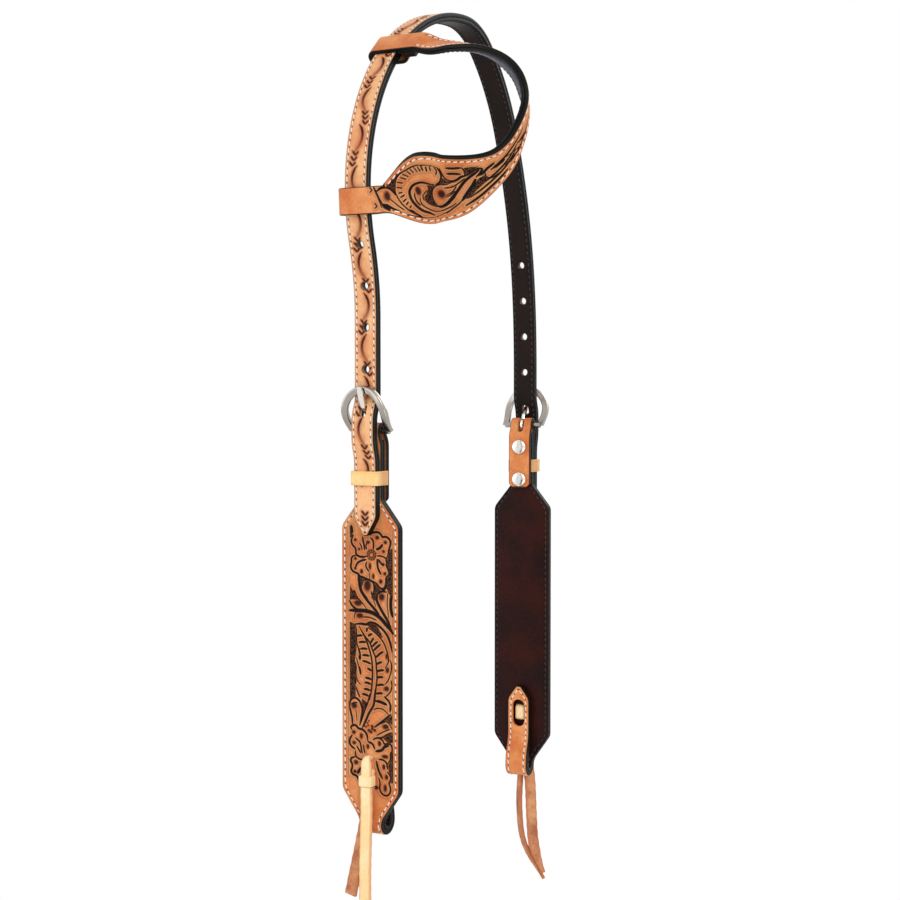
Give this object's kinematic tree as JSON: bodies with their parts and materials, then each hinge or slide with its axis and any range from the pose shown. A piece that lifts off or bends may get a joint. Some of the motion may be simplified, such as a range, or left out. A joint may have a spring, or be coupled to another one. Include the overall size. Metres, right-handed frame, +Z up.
{
  "type": "western headstall",
  "caption": "One-ear headstall of doubled leather: crown strap with punched billets, sliding ear piece, wide tooled cheeks with horseshoe buckles, keepers and tied bit loops.",
  "frame": {"origin": "underside of the crown strap at its highest point, where the headstall hangs", "axes": "+Z up along the hanging cheeks, -Y to the front of the horse's head, -X to the near (left) side"},
  "size_m": [0.2422, 0.1335, 0.6001],
  "materials": {
    "crown_leather": "light natural tan, stamped border, smooth",
    "crown_lining": "dark brown, smooth, black edges",
    "ear_leather": "tooled tan, dark antique dye in the ground",
    "ear_lining": "navy black, smooth",
    "cheek_leather": "floral tooled tan, dark antique dye in the ground",
    "cheek_lining": "dark red-brown, smooth",
    "keeper_leather": "plain light tan",
    "thong_leather": "plain light tan thong, fleshy back",
    "buckle_steel": "satin face with bright rims",
    "screw_steel": "polished"
  },
  "bodies": {
    "headstall": {"crown_strap_outer": "crown_leather", "crown_strap_lining": "crown_lining", "near_cheek_outer": "cheek_leather", "near_cheek_lining": "cheek_lining", "near_upper_screw": "screw_steel", "near_upper_post": "screw_steel", "near_lower_screw": "screw_steel", "near_lower_post": "screw_steel", "near_tie": "thong_leather", "near_tie_tail_front": "thong_leather", "near_tie_tail_back": "thong_leather", "far_cheek_outer": "cheek_leather", "far_cheek_lining": "cheek_lining", "far_upper_screw": "screw_steel", "far_upper_post": "screw_steel", "far_lower_screw": "screw_steel", "far_lower_post": "screw_steel", "far_tie": "thong_leather", "far_tie_tail_front": "thong_leather", "far_tie_tail_back": "thong_leather"},
    "ear_piece": {"ear_piece_outer": "ear_leather", "ear_piece_lining": "ear_lining"},
    "near_keeper": {"near_keeper": "keeper_leather"},
    "near_buckle_frame": {"near_buckle_frame": "buckle_steel"},
    "near_buckle_tongue": {"near_buckle_tongue": "buckle_steel"},
    "far_keeper": {"far_keeper": "keeper_leather"},
    "far_buckle_frame": {"far_buckle_frame": "buckle_steel"},
    "far_buckle_tongue": {"far_buckle_tongue": "buckle_steel"}
  },
  "joints": [
    {"name": "ear_piece_slide", "type": "hinge", "parent": "headstall", "child": "ear_piece", "pos_m": [0, 0, -0.11895], "axis": [0, 1, 0], "range_deg": [-4, 12]},
    {"name": "near_keeper_slide", "type": "slide", "parent": "headstall", "child": "near_keeper", "axis": [0, 0, 1], "range_m": [-0.002, 0.004]},
    {"name": "near_buckle_pivot", "type": "hinge", "parent": "headstall", "child": "near_buckle_frame", "pos_m": [-0.10675, 0, -0.2655], "axis": [0, -1, 0], "range_deg": [0, 2.5]},
    {"name": "near_tongue_pivot", "type": "hinge", "parent": "near_buckle_frame", "child": "near_buckle_tongue", "pos_m": [-0.10675, 0, -0.2655], "axis": [0, -1, 0], "range_deg": [0, 2.5]},
    {"name": "far_keeper_slide", "type": "slide", "parent": "headstall", "child": "far_keeper", "axis": [0, 0, 1], "range_m": [-0.002, 0.004]},
    {"name": "far_buckle_pivot", "type": "hinge", "parent": "headstall", "child": "far_buckle_frame", "pos_m": [0.09589, 0.00037, -0.2655], "axis": [-0.1219, 0.9925, 0], "range_deg": [0, 2.5]},
    {"name": "far_tongue_pivot", "type": "hinge", "parent": "far_buckle_frame", "child": "far_buckle_tongue", "pos_m": [0.09589, 0.00037, -0.2655], "axis": [-0.1219, 0.9925, 0], "range_deg": [0, 2.5]}
  ]
}
